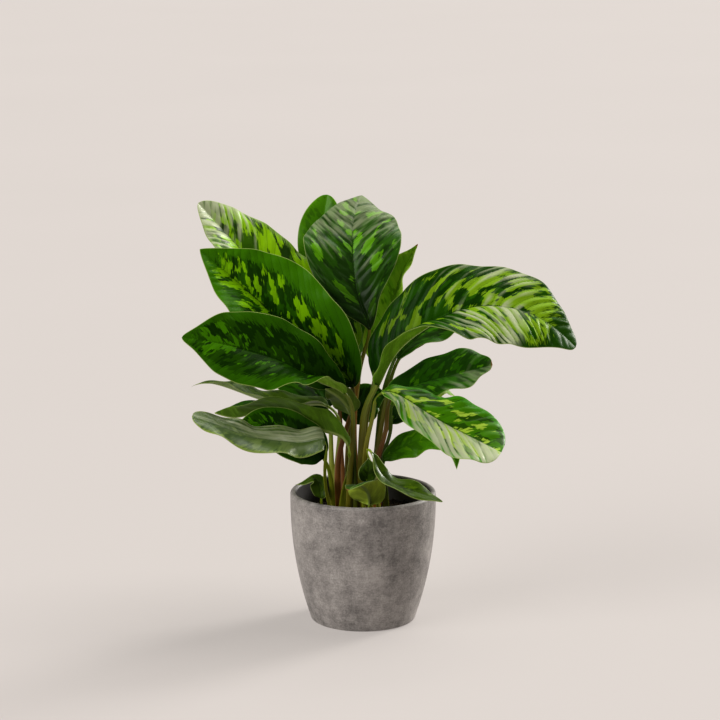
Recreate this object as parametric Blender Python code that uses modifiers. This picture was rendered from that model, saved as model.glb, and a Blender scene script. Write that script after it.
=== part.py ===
"""Potted homalomena: a clump of variegated leaves on long stalks in a round cement-grey pot.

The origin is the middle of the pot's flat underside, +Z is up and -Y is the front.
"""
import math
from dataclasses import dataclass

import bmesh
import bpy
import numpy as np

MM = 0.001

# The pot, a turned cup
POT_RADIUS = 70 * MM
POT_HEIGHT = 127 * MM
POT_WALL = 6 * MM
POT_FLOOR = 8 * MM
UPRIGHT_HEIGHT = 118 * MM
WALL_CURVE_RADIUS = 355 * MM
FOOT_ROUNDING = 4 * MM
POT_SIDES = 48

# The soil, and the holes that the stalks stand in
SOIL_HEIGHT = 104 * MM
FOOT_DEPTH = 8 * MM
SEAT_GAP = 0.3 * MM
HOLE_CLEARANCE = 0.5 * MM
HOLE_SIDES = 10

# The leaves: their margins wave, and each stalk's end flows into its blade's midrib
BLADE_THICKNESS = 0.8 * MM
WAVE_HEIGHT = 2.0
OTHER_HALF_SHIFT = 1.7
DRIP_START = 0.78
STALK_POINTS = 8
STALK_END_SHARE = 0.985
BASE_ROW = 0.02
BASE_SHARE = 0.2


@dataclass
class Leaf:
    """One leaf: points in mm, face directions and angles at even stations from base to tip."""
    foot: tuple
    bends: list
    midrib: list
    width: float
    face: list
    lift_left: tuple = (12,)
    lift_right: tuple = (12,)
    widest: float = 0.42
    blunt: float = 0.6
    drip: float = 0.3
    waves: float = 3
    phase: float = 0
    radii: tuple = (3.4, 1.7)
    grid: tuple = (13, 3)
    colour: tuple = (0.10, 0.26, 0.04)


LEAVES = {
    "upper_left_back": Leaf(
        foot=(-13, 8), bends=[(-12, 22, 184)],
        midrib=[(-9, 26, 258), (-37, 38, 284), (-86, 46, 322), (-128, 48, 365), (-158, 44, 399)],
        width=88, face=[(0.35, -0.75, 0.5), (0.45, -0.6, 0.7)], widest=0.5, drip=0.1, grid=(15, 4),
        colour=(0.33, 0.45, 0.08)),
    "upper_left_front": Leaf(
        foot=(-22, 0), bends=[(-22, 1, 166)],
        midrib=[(-10, 4, 227), (-58, 2, 277), (-107, 0, 319), (-154, -4, 362)], width=108,
        face=[(0.1, -1, 0.35)], lift_left=(10, 35, 45, 35), lift_right=(65, 38, 12, 8), widest=0.46,
        blunt=0.72, drip=0.2, phase=1, grid=(15, 4), colour=(0.13, 0.33, 0.02)),
    "left_front": Leaf(
        foot=(-16, -10), bends=[(-10, -13, 185)],
        midrib=[(-18, -27, 228), (-38, -35, 240), (-69, -46, 259.5), (-105, -57, 275),
                (-137, -63, 284.5), (-168, -65, 289)], width=76,
        face=[(0, -0.8, 0.6), (0, -0.9, 0.45)], lift_left=(85, 84, 52, 20, 6, 8, 10),
        lift_right=(10,), widest=0.5, drip=0.45, phase=2, grid=(15, 4), colour=(0.03, 0.13, 0.01)),
    "tall_middle": Leaf(
        foot=(-4, 10), bends=[(-8, 15, 205), (-4, 15, 238), (1, 15, 259)],
        midrib=[(6, 14, 281), (-2, 22, 304), (-10, 36, 345), (-10, 52, 371), (-6, 76, 391),
                (-1, 94, 399.5)], width=95, face=[(0.05, -1, 0.2), (0.1, -0.8, 0.6)],
        lift_left=(12, 8, 5, -27, -35), lift_right=(10, 12, 0), widest=0.6, blunt=1.1, drip=0.1,
        phase=3, grid=(15, 4), colour=(0.08, 0.20, 0.05)),
    "tall_behind": Leaf(
        foot=(-8, 20), bends=[(-11, 30, 179)],
        midrib=[(-11, 50, 240), (-24, 76, 309), (-39, 91, 361), (-35, 103, 399)], width=57,
        face=[(-0.2, -1, 0.2)], widest=0.55, drip=0.1, phase=4, colour=(0.06, 0.20, 0.02)),
    "narrow_behind": Leaf(
        foot=(1, 19), bends=[(2, 28, 180)],
        midrib=[(14, 38, 241), (26, 49, 294), (40, 58, 334), (53, 60, 357)], width=50,
        face=[(-0.75, -0.6, 0.3)], lift_left=(30,), lift_right=(30,), phase=5,
        colour=(0.25, 0.38, 0.07)),
    "big_right": Leaf(
        foot=(-2, -2), bends=[(-1, -12, 185), (3, -16, 213)],
        midrib=[(13, -20, 235), (32, -26, 271), (57, -30, 292), (92, -32, 310), (136, -30, 311.5),
                (175, -28, 295), (200, -26, 272)], width=92,
        face=[(-0.1, -0.75, 0.65), (0.25, -0.6, 0.8)], lift_left=(-25, 15, 5, 0),
        lift_right=(85, 80, 62, 18, -6, -5, 0), widest=0.52, blunt=0.5, drip=0.35, radii=(4.0, 2.8),
        grid=(18, 4), colour=(0.30, 0.38, 0.15)),
    "right_behind": Leaf(
        foot=(9, 8), bends=[(14, 12, 162), (20, 18, 200), (25, 22, 224)],
        midrib=[(34, 24, 250), (60, 40, 276), (92, 56, 298), (118, 80, 306)], width=52,
        face=[(-0.3, -0.5, 0.8), (0.2, -0.5, 0.8)], lift_right=(20, 0, 0), blunt=1.0, phase=2,
        colour=(0.08, 0.22, 0.03)),
    "right_middle": Leaf(
        foot=(13, 0), bends=[(14, 0, 158), (22, 3, 188)],
        midrib=[(27, 9, 216), (54, 8, 230.5), (84, 2, 240), (106.5, -2, 246), (123, -6, 251)],
        width=54, face=[(0, -0.6, 0.8), (0, -0.55, 0.85)], widest=0.62, drip=0.3, phase=1,
        colour=(0.10, 0.28, 0.03)),
    "right_front": Leaf(
        foot=(8, -12), bends=[(3, -20, 176), (8, -24, 200), (10.5, -28, 215), (12.5, -32, 225)],
        midrib=[(17.5, -35.5, 230), (29, -39, 231), (41, -42, 226), (63, -50, 213),
                (92, -58, 198), (129, -66, 180)], width=72,
        face=[(0.1, -0.45, 0.9), (0.3, -0.42, 0.9)], lift_left=(5, -5, 15, 20, 5),
        lift_right=(0, -3, 0, -6, 5), widest=0.68, blunt=0.7, drip=0, phase=3.5, radii=(3.4, 1.5),
        grid=(15, 4), colour=(0.42, 0.50, 0.28)),
    "right_low": Leaf(
        foot=(22, 8), bends=[(21, 10, 130)],
        midrib=[(20, 12, 152), (37, 14, 166), (62, 12, 174), (83, 6, 168), (90, 0, 147)], width=34,
        face=[(0, -0.6, 0.8), (0.35, -0.7, 0.6)], lift_left=(-10, -10, 5, 12),
        lift_right=(0, 0, 22, 40), blunt=0.78, drip=0, phase=3, radii=(2.8, 1.4), grid=(12, 3),
        colour=(0.06, 0.19, 0.01)),
    "right_inner": Leaf(
        foot=(10, 18), bends=[(19, 28, 154), (27, 32, 184)],
        midrib=[(28, 34, 202), (55, 46, 210.5), (75, 53, 213), (90, 58, 207)], width=46,
        face=[(0, -0.3, 0.95), (0.2, -0.1, 0.95)], drip=0.3, phase=4, radii=(3.0, 1.5),
        grid=(11, 3), colour=(0.20, 0.32, 0.08)),
    "left_thin": Leaf(
        foot=(-30, 9), bends=[(-23, 14, 172), (-26, 19, 198)],
        midrib=[(-34, 20, 205), (-61, 22, 207), (-99, 25, 212), (-138, 26, 225), (-153, 26, 227),
                (-166, 26, 223)], width=42, face=[(0, -0.1, 1)], lift_left=(20, 20, 30, 40),
        widest=0.36, drip=0.6, colour=(0.16, 0.30, 0.05)),
    "left_cupped": Leaf(
        foot=(-21, -18), bends=[(-16, -22, 147)],
        midrib=[(-14.5, -20, 176), (-20, -22, 185), (-38, -26, 193), (-71, -31, 209),
                (-97, -34, 213), (-119, -36, 207), (-140, -38, 211.5)], width=54,
        face=[(0, 0.1, 1)], lift_left=(5, 65, 45, 32, 45, 70), lift_right=(10, 10, 8, 12, 35, 50),
        widest=0.5, blunt=0.7, drip=0, phase=3, colour=(0.10, 0.22, 0.03)),
    "left_low_dark": Leaf(
        foot=(-30, -4), bends=[],
        midrib=[(-38, -22, 164), (-67, -43, 190), (-95, -53, 204), (-121, -57, 201.5)], width=46,
        face=[(0.1, -0.95, 0.4), (0, -0.9, 0.5)], lift_right=(20,), phase=2, radii=(3.0, 1.5),
        colour=(0.03, 0.12, 0.01)),
    "left_low_long": Leaf(
        foot=(-29, -13), bends=[(-36, -29, 161)],
        midrib=[(-37, -39, 184.5), (-54, -52, 186.5), (-76, -66, 191), (-105, -78, 198),
                (-137, -84, 211.5), (-158, -88, 219)], width=37,
        face=[(0.2, -0.45, 0.88), (0.25, -0.4, 0.88)], lift_left=(-30, -3, -8, 0),
        lift_right=(30, 5, 5), widest=0.45, blunt=0.3, drip=0, radii=(2.8, 1.4),
        colour=(0.30, 0.40, 0.16)),
    "rim_left": Leaf(
        foot=(-41, -8), bends=[],
        midrib=[(-40, -12, 122), (-42.5, -12, 135), (-47, -13, 142), (-56, -14, 138),
                (-66, -14, 135.5)], width=16, face=[(-0.2, -0.6, 0.7), (-0.5, -0.3, 0.8)],
        widest=0.3, blunt=0.6, drip=0.6, waves=1, radii=(1.8, 1.2), grid=(8, 2),
        colour=(0.10, 0.26, 0.03)),
    "rim_front": Leaf(
        foot=(0, -26), bends=[],
        midrib=[(6, -29, 119), (4, -34, 134), (-5, -43, 143), (-15, -52, 140)], width=36,
        face=[(0, 1, 0.2), (-0.1, 0.8, 0.6), (-0.3, 0.2, 0.95), (-0.5, -0.3, 0.8)], lift_left=(10,),
        lift_right=(10,), blunt=0.4, waves=1, radii=(2.0, 1.2), grid=(8, 2),
        colour=(0.12, 0.28, 0.05)),
    "rim_right": Leaf(
        foot=(15, -19), bends=[(12, -20, 140), (7, -23, 160), (4, -27, 170), (4.5, -31, 174.5)],
        midrib=[(8, -35.5, 172.5), (11.5, -38, 164), (16, -40, 156), (24, -43, 147),
                (42, -48, 140), (75, -55, 129.4)], width=24, face=[(0.4, -0.4, 0.8)], widest=0.55,
        blunt=0.8, waves=2, radii=(2.6, 1.2), grid=(11, 3), colour=(0.12, 0.26, 0.04)),
    "young_upright": Leaf(
        foot=(1, -19), bends=[(1, -23, 134)],
        midrib=[(3, -29, 142), (4, -31, 149), (5, -32, 157), (5, -31, 166)], width=18,
        face=[(-0.1, -1, 0.1)], waves=1, radii=(1.6, 1.0), grid=(8, 2), colour=(0.10, 0.24, 0.02)),
    "low_back_middle": Leaf(
        foot=(-12, 28), bends=[(-13, 31, 160)],
        midrib=[(-12, 37, 183), (-2, 43, 199.5), (11, 46, 209), (23, 50, 209)], width=38,
        face=[(0, -0.9, 0.45)], phase=2, radii=(3.0, 1.5), grid=(10, 3), colour=(0.03, 0.12, 0.01)),
    "middle_folded": Leaf(
        foot=(-8, -9), bends=[(-9, -5, 180)],
        midrib=[(-12, -6, 203), (-20, -11, 218), (-29, -16, 226), (-36, -19, 231)], width=32,
        face=[(0.2, 0.8, 0.6), (0.1, 0.7, 0.7)], waves=2, radii=(2.4, 1.3), grid=(10, 3),
        colour=(0.08, 0.20, 0.03)),
    "back_left": Leaf(
        foot=(-17, 17), bends=[(-22, 30, 170)],
        midrib=[(-30, 46, 232), (-62, 74, 260), (-95, 102, 276), (-124, 126, 280)], width=70,
        face=[(-0.2, -0.3, 0.9), (-0.2, 0, 0.95)], phase=1, colour=(0.10, 0.26, 0.03)),
    "back_right": Leaf(
        foot=(5, 28), bends=[(13, 48, 150), (17, 64, 190)],
        midrib=[(35, 58, 252), (60, 76, 283), (89, 108, 302), (120, 138, 303)], width=62,
        face=[(0.2, -0.3, 0.9), (0.2, 0, 0.95)], phase=2, colour=(0.14, 0.30, 0.04)),
    "back_middle": Leaf(
        foot=(-5, 33), bends=[(-11, 45, 165)],
        midrib=[(-7, 65, 245), (-3, 95, 290), (-3, 125, 312), (-5, 156, 312)], width=52,
        face=[(0, -0.5, 0.85), (0, 0, 0.95)], blunt=1.0, phase=3, colour=(0.12, 0.28, 0.03)),
    "low_back_left": Leaf(
        foot=(-27, 18), bends=[(-31, 28, 160)],
        midrib=[(-35, 42, 197), (-56, 70, 221), (-76, 101, 239), (-95, 128, 243)], width=66,
        face=[(-0.2, -0.3, 0.9), (-0.2, 0, 0.95)], phase=4, grid=(11, 3),
        colour=(0.08, 0.22, 0.03)),
    "low_back_right": Leaf(
        foot=(14, 27), bends=[(17, 36, 150)],
        midrib=[(26, 44, 182), (50, 66, 193), (75, 88, 194), (100, 112, 180)], width=46,
        face=[(0.2, -0.3, 0.9), (0.2, 0, 0.95)], phase=5, grid=(11, 3), colour=(0.10, 0.25, 0.03)),
}


def smoothstep(x):
    """0 below 0, 1 above 1, and an even S between."""
    x = np.clip(x, 0, 1)
    return x * x * (3 - 2 * x)


def along(stations, t):
    """The values given at even stations from base to tip, blended smoothly at t."""
    values = np.array(stations, float)
    if len(values) == 1:
        return np.repeat(values, len(t), axis=0)
    spans = len(values) - 1
    first = np.minimum((t * spans).astype(int), spans - 1)
    share = smoothstep(t * spans - first)
    if values.ndim == 2:
        share = share[:, None]
    return values[first] * (1 - share) + values[first + 1] * share


def smooth_curve(points):
    """The smooth curve through the points, as a function of length, and each point's length."""
    p = np.array(points, float)
    steps = np.diff(p, axis=0)
    spans = np.linalg.norm(steps, axis=1)
    lengths = np.concatenate([[0.0], np.cumsum(spans)])
    count = len(p)
    system = np.zeros((count, count))
    right = np.zeros_like(p)
    for i in range(count):
        for neighbour, span in ((i - 1, i - 1), (i + 1, i)):
            if 0 <= neighbour < count:
                system[i, i] += 2 / spans[span]
                system[i, neighbour] += 1 / spans[span]
                right[i] += 3 * steps[span] / spans[span] ** 2
    slopes = np.linalg.solve(system, right)

    def at(s):
        i = np.clip(np.searchsorted(lengths, s, side="right") - 1, 0, count - 2)
        h = spans[i][:, None]
        u = (s - lengths[i])[:, None] / h
        return ((1 + 2 * u) * (1 - u) ** 2 * p[i] + u * (1 - u) ** 2 * h * slopes[i]
                + (3 - 2 * u) * u ** 2 * p[i + 1] + (u - 1) * u ** 2 * h * slopes[i + 1])

    return at, lengths


def leaf_curve(leaf):
    """The curve up the stalk and on along the midrib, and the length at which the blade starts."""
    soil = SOIL_HEIGHT / MM
    points = [(*leaf.foot, soil), *leaf.bends, *leaf.midrib]
    at, lengths = smooth_curve(points)
    return at, lengths[len(points) - len(leaf.midrib)], lengths[-1]


def stalk_share(leaf, t):
    """The stalk's end radius, fading out past the blade's base."""
    return leaf.radii[1] * (1 - smoothstep(t / BASE_SHARE))


def half_width(leaf, t):
    """Half the blade's width, from the stalk's own at the base to nothing at the tip."""
    past = leaf.blunt * (1 - leaf.widest) / leaf.widest
    outline = (t / leaf.widest) ** leaf.blunt * ((1 - t) / (1 - leaf.widest)) ** past
    outline = outline * (1 - leaf.drip * smoothstep((t - DRIP_START) / (1 - DRIP_START)))
    return leaf.width / 2 * outline + stalk_share(leaf, t)


def blade_grid(leaf, rows, columns):
    """Points on the blade's upper side in mm: rows from base to tip, columns from left to right."""
    at, start, end = leaf_curve(leaf)
    t = np.insert(np.linspace(0, 1, rows), 1, BASE_ROW)
    start += SEAT_GAP / MM
    length = start + (end - start) * t
    midrib = at(length)
    tangent = at(np.minimum(length + 0.01, end)) - at(length - 0.01)
    tangent /= np.linalg.norm(tangent, axis=1)[:, None]
    normal = along(leaf.face, t)
    normal -= (normal * tangent).sum(1)[:, None] * tangent
    normal /= np.linalg.norm(normal, axis=1)[:, None]
    sideways = np.cross(tangent, normal)
    half = half_width(leaf, t)
    midrib += normal * stalk_share(leaf, t)[:, None]
    points = np.zeros((rows + 1, 2 * columns + 1, 3))
    points[:, columns] = midrib
    for sign, lifts, shift in ((-1, leaf.lift_left, 0), (1, leaf.lift_right, OTHER_HALF_SHIFT)):
        lift = np.radians(along(lifts, t))[:, None]
        outward = sign * np.cos(lift) * sideways + np.sin(lift) * normal
        wave = WAVE_HEIGHT * np.sin(2 * math.pi * leaf.waves * t + leaf.phase + shift)
        wave *= np.minimum(1, 3 * half / leaf.width)
        for j in range(1, columns + 1):
            share = j / columns
            offset = outward * (half * share)[:, None] + normal * (wave * share ** 2)[:, None]
            points[:, columns + sign * j] = midrib + offset
    return points


def stalk_path(leaf):
    """Points up the stalk in mm, upright in the soil, and the radius at each."""
    at, start, _ = leaf_curve(leaf)
    share = np.append(np.linspace(0, STALK_END_SHARE, STALK_POINTS), 1)
    path = at(start * share)
    buried = path[0] - (0, 0, FOOT_DEPTH / MM)
    low, high = leaf.radii
    return np.vstack([buried, path]), np.concatenate([[low], low + (high - low) * share])


def material(name, colour, roughness):
    """A Principled material of the given colour and roughness, not metallic."""
    made = bpy.data.materials.new(name)
    made.use_nodes = True
    shader = made.node_tree.nodes["Principled BSDF"]
    shader.inputs["Base Color"].default_value = (*colour, 1)
    shader.inputs["Roughness"].default_value = roughness
    shader.inputs["Metallic"].default_value = 0
    return made


def add_object(name, data, collection, look):
    """Links the data as a named object in the collection, with its material."""
    placed = bpy.data.objects.new(name, data)
    collection.objects.link(placed)
    data.materials.append(look)
    return placed


def turned(name, profile, sides, collection, look):
    """A profile of (radius, height) points, outer side first from top to bottom, turned about Z."""
    mesh = bpy.data.meshes.new(name)
    shape = bmesh.new()
    corners = [shape.verts.new((radius, 0, height)) for radius, height in profile]
    for first, second in zip(corners, corners[1:]):
        shape.edges.new((first, second))
    shape.to_mesh(mesh)
    shape.free()
    placed = add_object(name, mesh, collection, look)
    screw = placed.modifiers.new("Turned", "SCREW")
    screw.steps = sides
    screw.render_steps = sides
    screw.use_merge_vertices = True
    screw.merge_threshold = 0.00001
    screw.use_smooth_shade = True
    return placed


def outer_radius(height):
    """The pot's outer radius: a long arc that stands upright near the rim."""
    below = min(height - UPRIGHT_HEIGHT, 0)
    arc = math.sqrt(WALL_CURVE_RADIUS ** 2 - below ** 2)
    return POT_RADIUS - WALL_CURVE_RADIUS + arc


def rounding(centre, radius, start, end, steps):
    """Points on an arc between two angles in degrees, in the profile's plane."""
    angles = [math.radians(start + (end - start) * i / steps) for i in range(steps + 1)]
    return [(centre[0] + radius * math.cos(a), centre[1] + radius * math.sin(a)) for a in angles]


def build_pot(collection):
    """A cup with a rounded rim and foot, and a flat underside."""
    rim = POT_WALL / 2
    rim_centre = (POT_RADIUS - rim, POT_HEIGHT - rim)
    foot_centre = (outer_radius(FOOT_ROUNDING) - FOOT_ROUNDING, FOOT_ROUNDING)
    profile = [(0, POT_FLOOR)]
    for height in (POT_FLOOR, 40 * MM, 75 * MM, SOIL_HEIGHT):
        profile.append((outer_radius(height) - POT_WALL, height))
    profile += rounding(rim_centre, rim, 180, 0, 6)
    for height in (105 * MM, 85 * MM, 65 * MM, 45 * MM, 25 * MM):
        profile.append((outer_radius(height), height))
    profile += rounding(foot_centre, FOOT_ROUNDING, 0, -90, 3)
    profile.append((0, 0))
    look = material("pot", (0.27, 0.26, 0.25), 0.7)
    return turned("pot", profile, POT_SIDES, collection, look)


def build_soil(collection, cutters):
    """Soil filling the pot up to its level surface, with a plain hole for each stalk."""
    profile = [(0, SOIL_HEIGHT)]
    for height in (SOIL_HEIGHT, 75 * MM, 40 * MM, POT_FLOOR + SEAT_GAP):
        profile.append((outer_radius(height) - POT_WALL - SEAT_GAP, height))
    profile.append((0, POT_FLOOR + SEAT_GAP))
    soil = turned("soil", profile, POT_SIDES, collection, material("soil", (0.03, 0.02, 0.012), 0.95))
    holes = soil.modifiers.new("Stalk holes", "BOOLEAN")
    holes.operation = "DIFFERENCE"
    holes.operand_type = "COLLECTION"
    holes.collection = cutters
    depth = FOOT_DEPTH + SEAT_GAP
    for name, leaf in LEAVES.items():
        mesh = bpy.data.meshes.new("hole_" + name)
        shape = bmesh.new()
        radius = leaf.radii[0] * MM + HOLE_CLEARANCE
        bmesh.ops.create_cone(shape, cap_ends=True, segments=HOLE_SIDES, radius1=radius,
                              radius2=radius, depth=2 * depth)
        shape.to_mesh(mesh)
        shape.free()
        cutter = bpy.data.objects.new("hole_" + name, mesh)
        cutters.objects.link(cutter)
        cutter.location = (leaf.foot[0] * MM, leaf.foot[1] * MM, SOIL_HEIGHT)
        cutter.hide_render = True
        cutter.display_type = "WIRE"
    return soil


def build_stalk(name, leaf, collection):
    """A tapering round stalk from its hole in the soil to the base of its blade."""
    path, radii = stalk_path(leaf)
    curve = bpy.data.curves.new("stalk_" + name, "CURVE")
    curve.dimensions = "3D"
    curve.bevel_depth = MM
    curve.bevel_resolution = 2
    curve.use_fill_caps = True
    spline = curve.splines.new("POLY")
    spline.points.add(len(path) - 1)
    for point, place, radius in zip(spline.points, path, radii):
        point.co = (*(place * MM), 1)
        point.radius = radius
    spline.use_smooth = True
    return add_object("stalk_" + name, curve, collection,
                      material("stalk " + name, (0.16, 0.11, 0.03), 0.45))


def build_blade(name, leaf, collection):
    """A waved blade, thicker along its midrib, that starts at the stalk's end."""
    rows, columns = leaf.grid
    points = blade_grid(leaf, rows, columns).reshape(-1, 3) * MM
    mesh = bpy.data.meshes.new("blade_" + name)
    shape = bmesh.new()
    bmesh.ops.create_grid(shape, x_segments=2 * columns, y_segments=rows, size=1)
    for vertex, place in zip(shape.verts, points):
        vertex.co = place
    middle = [(row * (2 * columns + 1) + columns, 1 - row / rows) for row in range(rows)]
    bmesh.ops.triangulate(shape, faces=shape.faces[:], quad_method="FIXED")
    bmesh.ops.remove_doubles(shape, verts=shape.verts[:], dist=MM / 1000)
    shape.to_mesh(mesh)
    shape.free()
    mesh.shade_smooth()
    blade = add_object("blade_" + name, mesh, collection,
                       material("blade " + name, leaf.colour, 0.35))
    ridge = blade.vertex_groups.new(name="Midrib")
    for index, weight in middle:
        ridge.add([index], weight, "REPLACE")
    thick = 2 * leaf.radii[1] * MM
    solid = blade.modifiers.new("Thickness", "SOLIDIFY")
    solid.thickness = thick
    solid.offset = -1
    solid.vertex_group = ridge.name
    solid.thickness_vertex_group = BLADE_THICKNESS / thick
    return blade


def main():
    for old in list(bpy.data.objects):
        bpy.data.objects.remove(old)
    plant = bpy.data.collections.new("potted homalomena")
    cutters = bpy.data.collections.new("cutters")
    for collection in (plant, cutters):
        bpy.context.scene.collection.children.link(collection)
    build_pot(plant)
    build_soil(plant, cutters)
    for name, leaf in LEAVES.items():
        build_stalk(name, leaf, plant)
        build_blade(name, leaf, plant)


main()
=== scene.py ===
import math
from dataclasses import dataclass
from functools import reduce

import bmesh
import bpy
import numpy as np
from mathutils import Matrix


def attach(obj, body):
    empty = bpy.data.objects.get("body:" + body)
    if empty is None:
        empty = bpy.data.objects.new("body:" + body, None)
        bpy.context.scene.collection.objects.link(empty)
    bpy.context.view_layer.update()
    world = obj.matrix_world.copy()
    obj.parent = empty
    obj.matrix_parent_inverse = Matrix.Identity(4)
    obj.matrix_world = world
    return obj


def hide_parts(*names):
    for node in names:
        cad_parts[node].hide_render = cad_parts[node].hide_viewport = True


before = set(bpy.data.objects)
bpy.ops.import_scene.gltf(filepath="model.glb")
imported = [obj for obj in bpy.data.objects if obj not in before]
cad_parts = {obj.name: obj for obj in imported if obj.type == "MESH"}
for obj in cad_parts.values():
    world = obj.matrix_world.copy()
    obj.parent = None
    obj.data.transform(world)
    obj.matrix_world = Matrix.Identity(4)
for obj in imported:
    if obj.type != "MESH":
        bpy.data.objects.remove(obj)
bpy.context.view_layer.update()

MM = 0.001

# The pot; a wall's rings are given by the first height, the last and their number
POT_RADIUS = 70
POT_HEIGHT = 127
POT_WALL = 6
POT_FLOOR = 8
POT_SIDES = 192
UPRIGHT_HEIGHT = 118
WALL_CURVE_RADIUS = 355
INNER_RINGS = (POT_FLOOR, 120, 24)
OUTER_RINGS = (121, 6, 40)
FLOOR_RING_RADII = (20, 40)
UNDERSIDE_RING_RADII = (35, 18)
RIM_STEPS = 16
FOOT_STEPS = 8
FOOT_ROUNDING = 4
# How far in from the outside the painted shade of the pot's inside begins
INNER_FACE_DEPTH = 4.5

# The soil
SOIL_HEIGHT = 104
SOIL_DEPTH = 10
SOIL_HEAP = 1.6
SOIL_EDGE_DROP = 2.0
SEAT_GAP = 0.3
CRUMB_DENSITY = 90000.0
CRUMB_SIZE = (0.7, 2.6)
CRUMB_SHAPES = ((0.7, 0.5, 0.35), (1.2, 1.0, 0.8))
CRUMB_ROUGHNESS = 1.6
ALL_ROUND = 6.283

# The blades
BLADE_THICKNESS = 0.7
WAVE_HEIGHT = 2.0
OTHER_HALF_SHIFT = 1.7
DRIP_START = 0.78
BASE_SHARE = 0.2
ROW_STEP = 1.25
ROW_CROWDING = 0.35
COLUMN_STEP = 2.0
FEWEST_ROWS = 24
FEWEST_COLUMNS = 10
MARGIN_ROLL = 0.7
FOLD_ROUNDING = 1.6
CAMBER = 0.05
BASE_DOME = 0.06
SEED_STEP = 3.7

# The relief of a blade of full width: heights in metres, the ripple's length in cm
FULL_WIDTH = 70
BULGE_HEIGHT = 0.0009
BULGE_ROUNDNESS = 0.7
MIDRIB_GROOVE = 0.0007
MIDRIB_SHARPNESS = 70.0
RIPPLE_HEIGHT = 0.001
RIPPLE_LENGTH = 3.1
RIPPLE_SHIFT = 1.9
UNEVENNESS = 0.0024
UNEVEN_GRAIN = 0.42

# The stalks; each ends a little way inside its blade
STALK_POINTS = 56
STALK_SIDES = 20
STALK_END = (0.6, 3.0)
STALK_END_TAPER = (0.97, 0.9, 0.75, 0.5)
STALK_DEPTH = 8
SHEATH_HEIGHT = 14
SHEATH_SPREAD = 0.3
CHANNEL_DEPTH = 0.22

# The veins, in cm from the midrib and along it
VEIN_SPACING = 1.1
VEIN_SWEEP = 0.75
VEIN_BEND = 9.0
VEIN_WANDER = 1.6
VEIN_GRAIN = (0.4, 0.4)

# The patches of a variegated face: widths in cm, grains to a cm
STRIP_WIDTH = 0.34
STRIP_WANDER = 0.5
STRIP_GRAIN = (1.6, 1.6)
FEATHER_GRAIN = (2.0, 6.0)
BLOCK_GRAIN = (1.1, 1.35)
CLOUD_GRAIN = (0.85, 0.85)
FIELD_SPREAD = 0.27
LIME_SEED = 0.0
DARK_SEED = 40.0
CLOUD_SEED = 5.0
PAINTED_SHEEN_SEED = 11.0
PAINTED_SHEEN_RANGE = (0.52, 0.9)
MARGIN_LINE = 0.08

# The colours that all leaves share
# A whitish green painted on the upper faces as sheen, standing for reflected light
PAINTED_SHEEN_COLOUR = (0.42, 0.47, 0.29)
CREAM = (0.50, 0.58, 0.20)
RIB_BENEATH = (0.28, 0.36, 0.10)
DRIED = (0.30, 0.14, 0.05)

# The pot's and the soil's colours
CEMENT_DARK = (0.137, 0.127, 0.12)
CEMENT_LIGHT = (0.39, 0.365, 0.345)
CEMENT_SPOTS = (0.66, 0.64, 0.61)
# A dark grey painted on the pot's inner wall and floor as their shade
CEMENT_INSIDE_SHADE = (0.06, 0.057, 0.056)
SOIL_DARK = (0.010, 0.007, 0.005)
SOIL_BROWN = (0.050, 0.032, 0.020)
SOIL_FIBRES = (0.12, 0.085, 0.05)

# The floor and the camera, in metres and degrees, and each light's direction, strength,
# spread and colour
FLOOR_RADIUS = 40
FLOOR_COLOURS = ((0.20, 0.187, 0.179), (0.212, 0.198, 0.19))
FLOOR_GLOW = ((1.0, 0.93, 0.88, 1), 0.34)
CAMERA_PLACE = (-0.003, -2.450, 0.753)
CAMERA_TILT = 78.5
CAMERA_LENS = 131.3
SKY = ((1.0, 0.95, 0.92, 1), 0.20)
LIGHTS = {
    "window": ((0.42, 0.24, 0.86), 2.2, 46, (1.0, 0.97, 0.94)),
    "fill": ((-0.90, -0.60, 0.55), 1.9, 40, (1.0, 0.98, 0.96)),
    "edge": ((0.85, 0.70, 0.42), 2.4, 18, (1.0, 0.97, 0.94)),
}


@dataclass
class Tint:
    """A leaf's colours, its dark and lime marks, and the silvery streaks of painted sheen on its
    upper face.

    The first four are its colours. What goes to the midrib, the tip or the right is added there
    and taken away at the opposite side.
    """
    dark: tuple
    mid: tuple
    lime: tuple
    edge: tuple
    lime_share: float = 0.3
    dark_share: float = 0.5
    plain_margin: float = 0.1  # a share of the half width
    lime_to_midrib: float = 0.0
    lime_to_tip: float = 0.0
    lime_to_right: float = 0.0
    patch_size: float = 1.0
    plain_tip: float = 0.0  # a share of the length
    base_painted_shade: float = 0.0  # how much darker the base is: painted shade where the leaf bases crowd, and partly the leaf's own darker base
    painted_sheen: float = 0.0  # how much of the painted sheen's whitish colour shows
    painted_sheen_to_tip: float = 0.0
    painted_sheen_middle: float = 0.5  # where along the blade the painted sheen's drift to the tip changes sign
    painted_sheen_to_right: float = 0.0
    painted_sheen_on_crests: float = 0.3
    painted_sheen_grain: tuple = (1.2, 3.2)
    under: tuple = (0.06, 0.12, 0.006)  # the colour beneath
    dry_from: float = 1.2  # where along the blade it is dry; nowhere if past 1
    gloss: float = 0.3
    sheen: float = 0.15


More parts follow.
